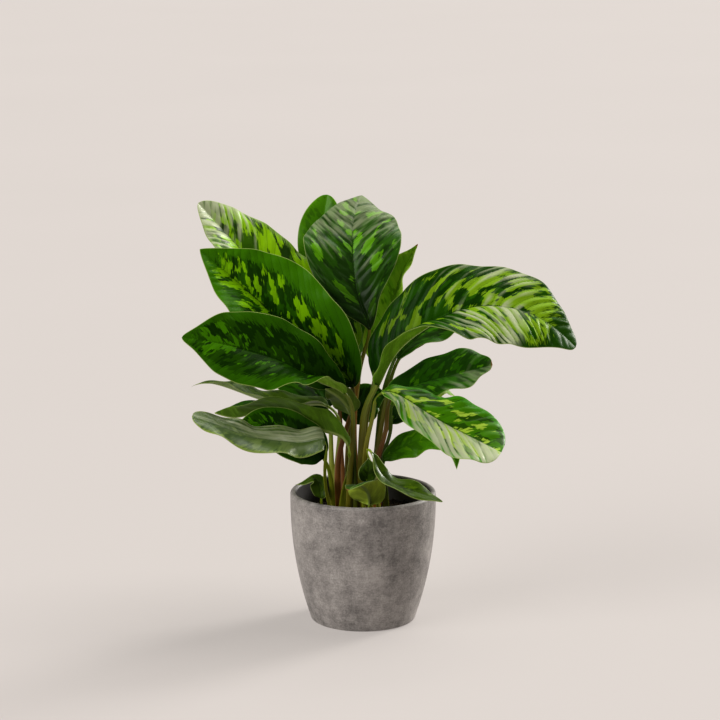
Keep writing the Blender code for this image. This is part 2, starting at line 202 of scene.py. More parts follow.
TINTS = {
    "lime": Tint(
        (0.02, 0.06, 0.003), (0.055, 0.15, 0.003), (0.29, 0.56, 0.003), (0.2, 0.34, 0.06), 0.60,
        0.45, 0.05, lime_to_tip=-0.10, patch_size=1.9, base_painted_shade=0.6, painted_sheen=0.9,
        painted_sheen_to_tip=1.5, painted_sheen_middle=0.7, painted_sheen_on_crests=0.25, painted_sheen_grain=(0.5, 1.6),
        gloss=0.08, sheen=0.05),
    "patched": Tint(
        (0.013, 0.055, 0.001), (0.031, 0.12, 0.001), (0.22, 0.48, 0.002), (0.050, 0.175, 0.001),
        0.37, 0.55, 0.34, lime_to_midrib=0.14, lime_to_tip=0.06, patch_size=1.15, plain_tip=0.14,
        base_painted_shade=0.7, gloss=0.05, sheen=0.0),
    "deep": Tint(
        (0.009, 0.036, 0.001), (0.019, 0.068, 0.001), (0.06, 0.20, 0.001), (0.031, 0.11, 0.001),
        0.08, 0.5, 0.25, lime_to_midrib=0.14, lime_to_tip=0.22, patch_size=1.1, plain_tip=0.1,
        base_painted_shade=0.5, under=(0.16, 0.28, 0.03), gloss=0.03, sheen=0.0),
    "dark": Tint(
        (0.012, 0.040, 0.001), (0.020, 0.075, 0.001), (0.05, 0.17, 0.002), (0.03, 0.115, 0.001),
        0.10, 0.5, 0.25, lime_to_midrib=0.06, lime_to_tip=0.06, under=(0.07, 0.14, 0.008),
        gloss=0.12, sheen=0.05),
    "dark_tipped": Tint(
        (0.018, 0.08, 0.001), (0.040, 0.165, 0.001), (0.12, 0.34, 0.004), (0.035, 0.15, 0.001),
        0.12, painted_sheen=0.45, painted_sheen_to_tip=0.8, painted_sheen_middle=0.66, painted_sheen_to_right=0.25,
        painted_sheen_on_crests=0.1, painted_sheen_grain=(0.35, 1.2), gloss=0.2, sheen=0.05, dry_from=0.985),
    "tall": Tint(
        (0.014, 0.050, 0.002), (0.026, 0.095, 0.002), (0.12, 0.34, 0.004), (0.026, 0.10, 0.004),
        0.28, 0.5, 0.12, patch_size=1.7, base_painted_shade=0.85, painted_sheen=0.45, painted_sheen_to_tip=0.8,
        painted_sheen_on_crests=0.16, painted_sheen_grain=(0.45, 1.4), gloss=0.15, sheen=0.1),
    "plain": Tint(
        (0.05, 0.16, 0.001), (0.07, 0.22, 0.001), (0.12, 0.30, 0.004), (0.08, 0.24, 0.001), 0.1,
        0.4, 0.2, gloss=0.15, sheen=0.05),
    "dull": Tint(
        (0.036, 0.075, 0.002), (0.062, 0.12, 0.003), (0.11, 0.19, 0.006), (0.065, 0.125, 0.004),
        0.1, 0.4, under=(0.10, 0.16, 0.02), gloss=0.2, sheen=0.08),
    # The dull colours at about half: painted shade on the young upright leaf low among the stalks
    "olive": Tint(
        (0.018, 0.040, 0.001), (0.032, 0.070, 0.001), (0.05, 0.10, 0.002), (0.03, 0.065, 0.001),
        0.1, 0.4, under=(0.03, 0.06, 0.002), gloss=0.1),
    "dry_tipped": Tint(
        (0.03, 0.09, 0.003), (0.06, 0.15, 0.006), (0.14, 0.26, 0.02), (0.07, 0.16, 0.006), 0.15,
        0.4, 0.1, under=(0.34, 0.44, 0.05), gloss=0.4, dry_from=0.965),
    "light": Tint(
        (0.10, 0.22, 0.003), (0.16, 0.33, 0.006), (0.32, 0.48, 0.03), (0.26, 0.38, 0.02), 0.3, 0.2,
        0.1, painted_sheen=0.6, sheen=0.1),
    "light_tipped": Tint(
        (0.17, 0.36, 0.01), (0.27, 0.55, 0.03), (0.34, 0.60, 0.04), (0.38, 0.58, 0.05), 0.35, 0.3,
        0.1, under=(0.19, 0.38, 0.02), gloss=0.05, sheen=0.0, dry_from=0.97),
    "striped": Tint(
        (0.010, 0.048, 0.001), (0.024, 0.10, 0.001), (0.21, 0.37, 0.012), (0.015, 0.06, 0.001),
        0.42, 0.5, 0.08, lime_to_tip=0.25, lime_to_right=-0.01, patch_size=1.5, plain_tip=0.17,
        base_painted_shade=0.7, painted_sheen=0.95, painted_sheen_to_tip=0.8, painted_sheen_to_right=0.10,
        painted_sheen_grain=(0.4, 0.9), under=(0.12, 0.24, 0.015), gloss=0.05, sheen=0.0),
    "pale": Tint(
        (0.03, 0.10, 0.002), (0.07, 0.23, 0.002), (0.42, 0.62, 0.06), (0.06, 0.27, 0.001), 0.36,
        0.45, 0.15, lime_to_midrib=0.1, lime_to_right=0.08, patch_size=1.2, base_painted_shade=0.2,
        painted_sheen=0.95, painted_sheen_to_right=0.58, painted_sheen_to_tip=0.15, painted_sheen_grain=(0.5, 1.6),
        under=(0.16, 0.30, 0.03), gloss=0.1, sheen=0.03),
    # Greyish colours and lengthwise streaks: painted sheen, standing for reflected light on the
    # long low leaf
    "satin_painted_sheen": Tint(
        (0.06, 0.12, 0.02), (0.10, 0.17, 0.03), (0.16, 0.24, 0.05), (0.20, 0.30, 0.04), 0.2, 0.4,
        0.1, patch_size=1.5, painted_sheen=1.0, painted_sheen_on_crests=0.0, painted_sheen_to_tip=-0.25,
        painted_sheen_to_right=0.34, painted_sheen_grain=(4.0, 0.2), gloss=0.5, sheen=0.2),
}


@dataclass
class Leaf:
    """One leaf: points in mm, face directions and angles at even stations from base to tip."""
    foot: tuple
    midrib: list
    width: float
    face: list  # which way the upper face looks
    bends: tuple = ()  # points of the stalk between its foot and the blade
    lift_left: tuple = (12,)  # how far each half is raised
    lift_right: tuple = (12,)
    widest: float = 0.42  # where along the blade
    blunt: float = 0.6  # smaller is blunter
    drip: float = 0.3  # how far the tip is drawn in to a point
    waves: float = 3
    phase: float = 0
    radii: tuple = (3.4, 1.7)  # of the stalk, at the soil and at the blade
    relief: float = 1
    tint: str = "plain"
    stalk: str = "olive"


LEAVES = {
    "upper_left_back": Leaf(
        foot=(-13, 8), bends=[(-12, 22, 184)],
        midrib=[(-9, 26, 258), (-37, 38, 284), (-86, 46, 322), (-128, 48, 365), (-158, 44, 399)],
        width=88, face=[(0.35, -0.75, 0.5), (0.45, -0.6, 0.7)], widest=0.5, drip=0.1, relief=1.1,
        tint="lime"),
    "upper_left_front": Leaf(
        foot=(-22, 0), bends=[(-22, 1, 166)],
        midrib=[(-10, 4, 227), (-58, 2, 277), (-107, 0, 319), (-154, -4, 362)], width=108,
        face=[(0.1, -1, 0.35)], lift_left=(10, 35, 45, 35), lift_right=(65, 38, 12, 8), widest=0.46,
        blunt=0.72, drip=0.2, phase=1, tint="patched", stalk="red"),
    "left_front": Leaf(
        foot=(-16, -10), bends=[(-10, -13, 185)],
        midrib=[(-18, -27, 228), (-38, -35, 240), (-69, -46, 259.5), (-105, -57, 275),
                (-137, -63, 284.5), (-168, -65, 289)], width=76,
        face=[(0, -0.8, 0.6), (0, -0.9, 0.45)], lift_left=(85, 84, 52, 20, 6, 8, 10),
        lift_right=(10,), widest=0.5, drip=0.45, phase=2, tint="deep"),
    "tall_middle": Leaf(
        foot=(-4, 10), bends=[(-8, 15, 205), (-4, 15, 238), (1, 15, 259)],
        midrib=[(6, 14, 281), (-2, 22, 304), (-10, 36, 345), (-10, 52, 371), (-6, 76, 391),
                (-1, 94, 399.5)], width=95, face=[(0.05, -1, 0.2), (0.1, -0.8, 0.6)],
        lift_left=(12, 8, 5, -27, -35), lift_right=(10, 12, 0), widest=0.6, blunt=1.1, drip=0.1,
        phase=3, relief=1.7, tint="tall", stalk="orange"),
    "tall_behind": Leaf(
        foot=(-8, 20), bends=[(-11, 30, 179)],
        midrib=[(-11, 50, 240), (-24, 76, 309), (-39, 91, 361), (-35, 103, 399)], width=57,
        face=[(-0.2, -1, 0.2)], widest=0.55, drip=0.1, phase=4),
    "narrow_behind": Leaf(
        foot=(1, 19), bends=[(2, 28, 180)],
        midrib=[(14, 38, 241), (26, 49, 294), (40, 58, 334), (53, 60, 357)], width=50,
        face=[(-0.75, -0.6, 0.3)], lift_left=(30,), lift_right=(30,), phase=5, tint="light_tipped"),
    "big_right": Leaf(
        foot=(-2, -2), bends=[(-1, -12, 185), (3, -16, 213)],
        midrib=[(13, -20, 235), (32, -26, 271), (57, -30, 292), (92, -32, 310), (136, -30, 311.5),
                (175, -28, 295), (200, -26, 272)], width=92,
        face=[(-0.1, -0.75, 0.65), (0.25, -0.6, 0.8)], lift_left=(-25, 15, 5, 0),
        lift_right=(85, 80, 62, 18, -6, -5, 0), widest=0.52, blunt=0.5, drip=0.35, radii=(4.0, 2.8),
        relief=2.2, tint="striped"),
    "right_behind": Leaf(
        foot=(9, 8), bends=[(14, 12, 162), (20, 18, 200), (25, 22, 224)],
        midrib=[(34, 24, 250), (60, 40, 276), (92, 56, 298), (118, 80, 306)], width=52,
        face=[(-0.3, -0.5, 0.8), (0.2, -0.5, 0.8)], lift_right=(20, 0, 0), blunt=1.0, phase=2,
        tint="dark"),
    "right_middle": Leaf(
        foot=(13, 0), bends=[(14, 0, 158), (22, 3, 188)],
        midrib=[(27, 9, 216), (54, 8, 230.5), (84, 2, 240), (106.5, -2, 246), (123, -6, 251)],
        width=54, face=[(0, -0.6, 0.8), (0, -0.55, 0.85)], widest=0.62, phase=1, tint="dark_tipped",
        stalk="red"),
    "right_front": Leaf(
        foot=(8, -12), bends=[(3, -20, 176), (8, -24, 200), (10.5, -28, 215), (12.5, -32, 225)],
        midrib=[(17.5, -35.5, 230), (29, -39, 231), (41, -42, 226), (63, -50, 213), (92, -58, 198),
                (129, -66, 180)], width=72, face=[(0.1, -0.45, 0.9), (0.3, -0.42, 0.9)],
        lift_left=(5, -5, 15, 20, 5), lift_right=(0, -3, 0, -6, 5), widest=0.68, blunt=0.7, drip=0,
        phase=3.5, radii=(3.4, 1.5), relief=1.4, tint="pale"),
    "right_low": Leaf(
        foot=(22, 8), bends=[(21, 10, 130)],
        midrib=[(20, 12, 152), (37, 14, 166), (62, 12, 174), (83, 6, 168), (90, 0, 147)], width=34,
        face=[(0, -0.6, 0.8), (0.35, -0.7, 0.6)], lift_left=(-10, -10, 5, 12),
        lift_right=(0, 0, 22, 40), blunt=0.78, drip=0, phase=3, radii=(2.8, 1.4), stalk="green"),
    "right_inner": Leaf(
        foot=(10, 18), bends=[(19, 28, 154), (27, 32, 184)],
        midrib=[(28, 34, 202), (55, 46, 210.5), (75, 53, 213), (90, 58, 207)], width=46,
        face=[(0, -0.3, 0.95), (0.2, -0.1, 0.95)], phase=4, radii=(3.0, 1.5), tint="light",
        stalk="green"),
    "left_thin": Leaf(
        foot=(-30, 9), bends=[(-23, 14, 172), (-26, 19, 198)],
        midrib=[(-34, 20, 205), (-61, 22, 207), (-99, 25, 212), (-138, 26, 225), (-153, 26, 227),
                (-166, 26, 223)], width=42, face=[(0, -0.1, 1)], lift_left=(20, 20, 30, 40),
        widest=0.36, drip=0.6, tint="dull", stalk="yellow"),
    "left_cupped": Leaf(
        foot=(-21, -18), bends=[(-16, -22, 147)],
        midrib=[(-14.5, -20, 176), (-20, -22, 185), (-38, -26, 193), (-71, -31, 209),
                (-97, -34, 213), (-119, -36, 207), (-140, -38, 211.5)], width=54,
        face=[(0, 0.1, 1)], lift_left=(5, 65, 45, 32, 45, 70), lift_right=(10, 10, 8, 12, 35, 50),
        widest=0.5, blunt=0.7, drip=0, phase=3, tint="dark", stalk="yellow"),
    "left_low_dark": Leaf(
        foot=(-30, -4),
        midrib=[(-38, -22, 164), (-67, -43, 190), (-95, -53, 204), (-121, -57, 201.5)], width=46,
        face=[(0.1, -0.95, 0.4), (0, -0.9, 0.5)], lift_right=(20,), phase=2, radii=(3.0, 1.5),
        tint="deep", stalk="yellow"),
    "left_low_long": Leaf(
        foot=(-29, -13), bends=[(-36, -29, 161)],
        midrib=[(-37, -39, 184.5), (-54, -52, 186.5), (-76, -66, 191), (-105, -78, 198),
                (-137, -84, 211.5), (-158, -88, 219)], width=37,
        face=[(0.2, -0.45, 0.88), (0.25, -0.4, 0.88)], lift_left=(-30, -3, -8, 0),
        lift_right=(30, 5, 5), widest=0.45, blunt=0.3, drip=0, radii=(2.8, 1.4), relief=0.5,
        tint="satin_painted_sheen", stalk="yellow"),
    "rim_left": Leaf(
        foot=(-41, -8),
        midrib=[(-40, -12, 122), (-42.5, -12, 135), (-47, -13, 142), (-56, -14, 138),
                (-66, -14, 135.5)], width=16, face=[(-0.2, -0.6, 0.7), (-0.5, -0.3, 0.8)],
        widest=0.3, drip=0.6, waves=1, radii=(1.8, 1.2), tint="dull", stalk="yellow"),
    "rim_front": Leaf(
        foot=(0, -26), midrib=[(6, -29, 119), (4, -34, 134), (-5, -43, 143), (-15, -52, 140)],
        width=36, face=[(0, 1, 0.2), (-0.1, 0.8, 0.6), (-0.3, 0.2, 0.95), (-0.5, -0.3, 0.8)],
        lift_left=(10,), lift_right=(10,), blunt=0.4, waves=1, radii=(2.0, 1.2), tint="dry_tipped",
        stalk="yellow"),
    "rim_right": Leaf(
        foot=(15, -19), bends=[(12, -20, 140), (7, -23, 160), (4, -27, 170), (4.5, -31, 174.5)],
        midrib=[(8, -35.5, 172.5), (11.5, -38, 164), (16, -40, 156), (24, -43, 147), (42, -48, 140),
                (75, -55, 129.4)], width=24, face=[(0.4, -0.4, 0.8)], widest=0.55, blunt=0.8,
        waves=2, radii=(2.6, 1.2), tint="dull", stalk="yellow"),
    "young_upright": Leaf(
        foot=(1, -19), bends=[(1, -23, 134)],
        midrib=[(3, -29, 142), (4, -31, 149), (5, -32, 157), (5, -31, 166)], width=18,
        face=[(-0.1, -1, 0.1)], waves=1, radii=(1.6, 1.0), tint="olive", stalk="yellow"),
    "low_back_middle": Leaf(
        foot=(-12, 28), bends=[(-13, 31, 160)],
        midrib=[(-12, 37, 183), (-2, 43, 199.5), (11, 46, 209), (23, 50, 209)], width=38,
        face=[(0, -0.9, 0.45)], phase=2, radii=(3.0, 1.5), tint="dark"),
    "middle_folded": Leaf(
        foot=(-8, -9), bends=[(-9, -5, 180)],
        midrib=[(-12, -6, 203), (-20, -11, 218), (-29, -16, 226), (-36, -19, 231)], width=32,
        face=[(0.2, 0.8, 0.6), (0.1, 0.7, 0.7)], waves=2, radii=(2.4, 1.3), tint="dull",
        stalk="green"),
    "back_left": Leaf(
        foot=(-17, 17), bends=[(-22, 30, 170)],
        midrib=[(-30, 46, 232), (-62, 74, 260), (-95, 102, 276), (-124, 126, 280)], width=70,
        face=[(-0.2, -0.3, 0.9), (-0.2, 0, 0.95)], phase=1, tint="patched", stalk="red"),
    "back_right": Leaf(
        foot=(5, 28), bends=[(13, 48, 150), (17, 64, 190)],
        midrib=[(35, 58, 252), (60, 76, 283), (89, 108, 302), (120, 138, 303)], width=62,
        face=[(0.2, -0.3, 0.9), (0.2, 0, 0.95)], phase=2, tint="striped", stalk="green"),
    "back_middle": Leaf(
        foot=(-5, 33), bends=[(-11, 45, 165)],
        midrib=[(-7, 65, 245), (-3, 95, 290), (-3, 125, 312), (-5, 156, 312)], width=52,
        face=[(0, -0.5, 0.85), (0, 0, 0.95)], blunt=1.0, phase=3, tint="tall"),
    "low_back_left": Leaf(
        foot=(-27, 18), bends=[(-31, 28, 160)],
        midrib=[(-35, 42, 197), (-56, 70, 221), (-76, 101, 239), (-95, 128, 243)], width=66,
        face=[(-0.2, -0.3, 0.9), (-0.2, 0, 0.95)], phase=4, tint="dark", stalk="yellow"),
    "low_back_right": Leaf(
        foot=(14, 27), bends=[(17, 36, 150)],
        midrib=[(26, 44, 182), (50, 66, 193), (75, 88, 194), (100, 112, 180)], width=46,
        face=[(0.2, -0.3, 0.9), (0.2, 0, 0.95)], phase=5, tint="patched", stalk="red"),
}

# A stalk's colours at the soil, half way and at the blade
STALK_COLOURS = {
    "green": ((0.20, 0.22, 0.015), (0.07, 0.11, 0.005), (0.08, 0.16, 0.006)),
    "yellow": ((0.38, 0.38, 0.04), (0.22, 0.26, 0.012), (0.20, 0.30, 0.02)),
    "olive": ((0.28, 0.25, 0.02), (0.15, 0.14, 0.008), (0.12, 0.17, 0.012)),
    "orange": ((0.32, 0.22, 0.03), (0.26, 0.12, 0.015), (0.16, 0.16, 0.012)),
    "red": ((0.36, 0.16, 0.04), (0.16, 0.06, 0.010), (0.08, 0.08, 0.006)),
}


def smoothstep(x):
    """0 below 0, 1 above 1, and an even S between."""
    x = np.clip(x, 0, 1)
    return x * x * (3 - 2 * x)


def along(stations, t):
    """The values given at even stations from base to tip, blended smoothly at t."""
    values = np.array(stations, float)
    if len(values) == 1:
        return np.repeat(values, len(t), axis=0)
    spans = len(values) - 1
    first = np.minimum((t * spans).astype(int), spans - 1)
    share = smoothstep(t * spans - first)
    if values.ndim == 2:
        share = share[:, None]
    return values[first] * (1 - share) + values[first + 1] * share


def smooth_curve(points):
    """The smooth curve through the points, as a function of length, and each point's length."""
    p = np.array(points, float)
    steps = np.diff(p, axis=0)
    spans = np.linalg.norm(steps, axis=1)
    lengths = np.concatenate([[0.0], np.cumsum(spans)])
    count = len(p)
    system = np.zeros((count, count))
    right = np.zeros_like(p)
    for i in range(count):
        for neighbour, span in ((i - 1, i - 1), (i + 1, i)):
            if 0 <= neighbour < count:
                system[i, i] += 2 / spans[span]
                system[i, neighbour] += 1 / spans[span]
                right[i] += 3 * steps[span] / spans[span] ** 2
    slopes = np.linalg.solve(system, right)

    def at(s):
        i = np.clip(np.searchsorted(lengths, s, side="right") - 1, 0, count - 2)
        h = spans[i][:, None]
        u = (s - lengths[i])[:, None] / h
        return ((1 + 2 * u) * (1 - u) ** 2 * p[i] + u * (1 - u) ** 2 * h * slopes[i]
                + (3 - 2 * u) * u ** 2 * p[i + 1] + (u - 1) * u ** 2 * h * slopes[i + 1])

    return at, lengths


def leaf_curve(leaf):
    """The curve up the stalk and on along the midrib, and where on it the blade starts and ends."""
    points = [(*leaf.foot, SOIL_HEIGHT), *leaf.bends, *leaf.midrib]
    at, lengths = smooth_curve(points)
    return at, lengths[len(points) - len(leaf.midrib)], lengths[-1]


def stalk_share(leaf, t):
    """The stalk's end radius, fading out past the blade's base."""
    return leaf.radii[1] * (1 - smoothstep(t / BASE_SHARE))


def half_width(leaf, t):
    """Half the blade's width, from the stalk's own at the base to nothing at the tip."""
    past = leaf.blunt * (1 - leaf.widest) / leaf.widest
    outline = (t / leaf.widest) ** leaf.blunt * ((1 - t) / (1 - leaf.widest)) ** past
    outline = outline * (1 - leaf.drip * smoothstep((t - DRIP_START) / (1 - DRIP_START)))
    return leaf.width / 2 * outline + stalk_share(leaf, t)


class Nodes:
    """Adds nodes to a tree. What a node is given may be a value or another node's output."""

    def __init__(self, tree):
        self.tree = tree

    def give(self, socket, value):
        if isinstance(value, bpy.types.NodeSocket):
            self.tree.links.new(value, socket)
        elif value is not None:
            socket.default_value = value

    def add(self, kind, *values, out=0, **named):
        """A node's output. Names with a capital are its inputs, the others are its settings."""
        node = self.tree.nodes.new(kind)
        inputs = {key.replace("_", " "): named.pop(key) for key in list(named) if key[0].isupper()}
        for key, value in named.items():
            setattr(node, key, value)
        for key, value in [*enumerate(values), *inputs.items()]:
            self.give(node.inputs[key], value)
        return node.outputs[out]

    def shape(self, kind, *values, **named):
        return self.add("GeometryNode" + kind, *values, **named)

    def math(self, operation, *values):
        return self.add("ShaderNodeMath", *values, operation=operation)

    def total(self, *values):
        return reduce(lambda first, other: self.math("ADD", first, other), values)

    def times(self, *values):
        return reduce(lambda first, other: self.math("MULTIPLY", first, other), values)

    def less(self, first, second):
        return self.math("SUBTRACT", first, second)

    def step(self, value, low, high):
        """0 at low and 1 at high, smoothly."""
        return self.add("ShaderNodeMapRange", value, low, high, interpolation_type="SMOOTHSTEP")

    def span(self, value, low, high):
        """From low to high as the value goes from 0 to 1."""
        return self.add("ShaderNodeMapRange", value, 0.0, 1.0, low, high)

    def split(self, vector):
        node = self.tree.nodes.new("ShaderNodeSeparateXYZ")
        self.tree.links.new(vector, node.inputs[0])
        return node.outputs

    def join(self, x, y, z):
        return self.add("ShaderNodeCombineXYZ", x, y, z)

    def mix(self, share, first, second):
        """One colour fading into the other."""
        return self.add("ShaderNodeMix", share, *[None] * 5, colour(first), colour(second),
                        data_type="RGBA", out=2)

    def noise(self, place, scale, detail=2.0, roughness=0.5):
        return self.add("ShaderNodeTexNoise", Vector=place, Scale=scale, Detail=detail,
                        Roughness=roughness)

    def grain(self, x, y, grains, seed, detail=1.0, scale=1.0):
        """Noise with its own grain in x and in y."""
        return self.noise(self.join(self.times(x, grains[0]), self.times(y, grains[1]), seed),
                          scale, detail)

    def attribute(self, name, out):
        """The mesh's attribute: out is 1 for a vector and 2 for a number."""
        return self.add("ShaderNodeAttribute", attribute_name=name, out=out)

    def object_place(self):
        return self.add("ShaderNodeTexCoord", out=3)

    def scale(self, vector, factor):
        return self.add("ShaderNodeVectorMath", vector, Scale=factor, operation="SCALE")

    def store(self, geometry, name, value, kind="FLOAT"):
        """The geometry with the value kept as an attribute of its points."""
        return self.shape("StoreNamedAttribute", geometry, Name=name, Value=value, data_type=kind,
                          domain="POINT")

    def random(self, low, high, seed):
        """A vector for each point, between the two."""
        return self.add("FunctionNodeRandomValue", low, high, Seed=seed, data_type="FLOAT_VECTOR")


def colour(value):
    """A colour with its alpha, or a node's output as it is."""
    return (*value, 1) if isinstance(value, tuple) else value


def scaled(value, factor):
    """A colour made darker or lighter."""
    return tuple(factor * part for part in value)


def vein_place(n, from_midrib, up_midrib):
    """Where a point lies across the side veins, in cm: each vein runs out and sweeps to the tip."""
    bend = n.total(1.0, n.math("DIVIDE", from_midrib, VEIN_BEND))
    return n.less(up_midrib, n.times(from_midrib, bend, VEIN_SWEEP))


def vein_ridge(n, x, vein, seed):
    """1 between two side veins and 0 on one; the veins of one half start between the other's."""
    astray = n.grain(x, vein, VEIN_GRAIN, seed)
    turn = n.total(n.times(n.total(vein, n.times(astray, VEIN_WANDER)), math.pi / VEIN_SPACING),
                   n.times(n.math("SIGN", x), math.pi / 4))
    return n.math("ABSOLUTE", n.math("SINE", turn))


# Materials

def new_material(name, specular):
    """A Principled material, its nodes and its shader's inputs."""
    made = bpy.data.materials.new(name)
    made.use_nodes = True
    shader = made.node_tree.nodes["Principled BSDF"].inputs
    shader["Specular IOR Level"].default_value = specular
    return made, Nodes(made.node_tree), shader


def finish_material(n, shader, base, roughness, height=None, depth=0.0, strength=0.5):
    """The material's colour, its roughness, and bumps whose full height is this deep in metres."""
    n.give(shader["Base Color"], base)
    n.give(shader["Roughness"], roughness)
    if height is not None:
        n.give(shader["Normal"], n.add("ShaderNodeBump", strength, depth, Height=height))


class BladePlace:
    """Where a point lies on its blade, as nodes: lengths in cm, shares from base to tip."""

    def __init__(self, n):
        self.x, self.y, self.to_margin = n.split(n.attribute("leaf_cm", 1))
        across, self.up, self.top = n.split(n.attribute("leaf_share", 1))
        self.seed = n.attribute("leaf_seed", 2)
        self.side = n.math("SIGN", self.x)
        self.away = n.math("ABSOLUTE", self.x)
        self.outer = n.math("ABSOLUTE", across)
        self.vein = vein_place(n, self.away, self.y)
        self.ridge = vein_ridge(n, self.x, self.vein, self.seed)
        self.groove = n.step(self.ridge, 0.18, 0.0)
        self.feather = n.less(n.grain(self.x, self.vein, FEATHER_GRAIN, self.seed, 3.0), 0.5)
        wander = n.grain(self.x, self.vein, STRIP_GRAIN, self.seed)
        astray = n.total(self.vein, n.times(wander, STRIP_WANDER))
        self.strip = n.math("SNAP", astray, STRIP_WIDTH)


def patches(n, place, size, seed):
    """A field of blocky patches along the side veins, with ragged ends."""
    there = n.total(place.seed, seed)
    blocks = n.grain(place.x, place.strip, scaled(BLOCK_GRAIN, 1 / size), there)
    clouds = n.grain(place.x, place.vein, scaled(CLOUD_GRAIN, 1 / size),
                     n.total(there, CLOUD_SEED), 2.0)
    return n.total(n.times(blocks, 0.55), n.times(clouds, 0.45), n.times(place.feather, 0.13))


def cover(n, field, share):
    """1 on the share of the face, roughly, where the field is above its level, and 0 elsewhere."""
    level = 0.5 + FIELD_SPREAD * (0.5 - share)
    return n.step(field, level - 0.008, level + 0.018)


def patched_face(n, tint, place, dark_field):
    """Dark and lime patches inside a plain margin and a plain tip."""
    face = n.mix(cover(n, dark_field, 1 - tint.dark_share), tint.dark, tint.mid)
    drift = n.total(n.times(n.less(0.5, place.outer), tint.lime_to_midrib),
                    n.times(n.less(place.up, 0.5), tint.lime_to_tip),
                    n.times(place.side, tint.lime_to_right / 2))
    lime = cover(n, n.total(patches(n, place, tint.patch_size, LIME_SEED), drift), tint.lime_share)
    margin = 1 - tint.plain_margin
    inside = n.step(n.total(place.outer, n.times(place.feather, 0.5)), margin, margin - 0.05)
    tip = 1 - tint.plain_tip
    before_tip = n.step(n.total(place.up, n.times(place.feather, 0.3)), tip + 0.05, tip)
    return n.mix(n.times(inside, before_tip), tint.edge,
                 n.mix(n.times(lime, 0.94), face, tint.lime))


def painted_sheen_film(n, tint, place):
    """How much of the face the painted sheen covers: silvery streaks of reflected light between the
    veins, none on a plain tip.
    """
    seed = n.total(place.seed, PAINTED_SHEEN_SEED)
    streaks = n.grain(place.x, place.vein, tint.painted_sheen_grain, seed, 2.0)
    streaks = n.total(streaks, n.times(n.less(place.ridge, 0.6), tint.painted_sheen_on_crests),
                      n.times(n.less(place.up, tint.painted_sheen_middle), tint.painted_sheen_to_tip),
                      n.times(place.side, tint.painted_sheen_to_right / 2))
    fading = 1 - 3 * tint.plain_tip
    return n.times(n.step(streaks, *PAINTED_SHEEN_RANGE), n.step(place.up, fading + 0.3, fading + 0.2),
                   tint.painted_sheen)


def upper_face(n, tint, place, dark_field):
    """The patches, with a dark midrib and vein lines, the painted sheen, the painted shade at the
    base and the margin.
    """
    face = patched_face(n, tint, place, dark_field)
    rib = n.step(n.total(place.away, n.times(place.feather, 0.35)), 0.10, 0.05)
    face = n.mix(n.times(rib, n.step(place.up, 1.0, 0.6), 0.8), face, tint.dark)
    face = n.mix(n.times(place.groove, 0.4), face, tint.dark)
    # Painted sheen: a whitish green laid on where light would reflect from the face
    face = n.mix(painted_sheen_film(n, tint, place), face, PAINTED_SHEEN_COLOUR)
    # Painted shade at the base, where the leaf bases crowd, with partly the leaf's own darker base
    face = n.mix(n.times(n.step(place.up, 0.5, 0.0), tint.base_painted_shade), face, scaled(tint.dark, 0.4))
    pale = tuple(0.4 * part + 0.6 * cream for part, cream in zip(tint.mid, CREAM))
    return n.mix(n.times(n.step(place.to_margin, MARGIN_LINE, MARGIN_LINE / 2), 0.75), face, pale)


def under_face(n, tint, place, dark_field):
    """Paler, with faint patches and a light midrib."""
    faint = n.step(n.total(dark_field, n.times(place.groove, 0.2)), 0.4, 0.7)
    face = n.mix(faint, tint.under, scaled(tint.under, 1.5))
    return n.mix(n.step(place.away, 0.22, 0.08), face, RIB_BENEATH)


def leaf_material(name, tint):
    """Variegated above, paler with raised veins beneath, and a thin pale margin."""
    made, n, shader = new_material("leaf " + name, tint.gloss)
    shader["Sheen Weight"].default_value = tint.sheen
    shader["Sheen Roughness"].default_value = 0.4
    place = BladePlace(n)
    dark_field = patches(n, place, tint.patch_size, DARK_SEED)
    face = n.mix(n.step(place.top, 0.3, 0.6), under_face(n, tint, place, dark_field),
                 upper_face(n, tint, place, dark_field))
    dry = n.step(n.total(place.up, n.times(place.feather, 0.05)),
                 tint.dry_from, tint.dry_from + 0.015)
    rough = n.total(n.span(place.top, 0.5, 0.33), n.times(place.feather, 0.1))
    pores = n.noise(n.join(place.x, place.y, place.seed), 30.0)
    height = n.total(n.times(place.feather, 0.5), n.times(pores, 0.25), n.times(place.ridge, 0.4))
    finish_material(n, shader, n.mix(dry, face, DRIED), rough, height, 0.00025, 0.6)
    return made


def stalk_material(name, low, middle, high):
    """A stalk coloured by its height, with fine lines along it."""
    made, n, shader = new_material("stalk " + name, 0.35)
    share = n.attribute("along", 2)
    x, y, _ = n.split(n.attribute("around", 1))
    seed = n.attribute("leaf_seed", 2)
    lines = n.grain(x, y, (3.0, 3.0), n.total(n.times(share, 1.5), seed), 4.0, 1.6)
    clouds = n.noise(n.join(x, y, n.total(n.times(share, 9.0), seed)), 1.0)
    share = n.total(share, n.times(n.less(clouds, 0.5), 0.5))
    body = n.mix(n.step(share, 0.0, 0.5), low, middle)
    body = n.mix(n.step(share, 0.5, 1.0), body, high)
    body = n.mix(n.times(n.step(lines, 0.5, 0.75), 0.5), body, scaled(low, 1.5))
    finish_material(n, shader, body, n.span(lines, 0.34, 0.5), lines, 0.0003)
    return made


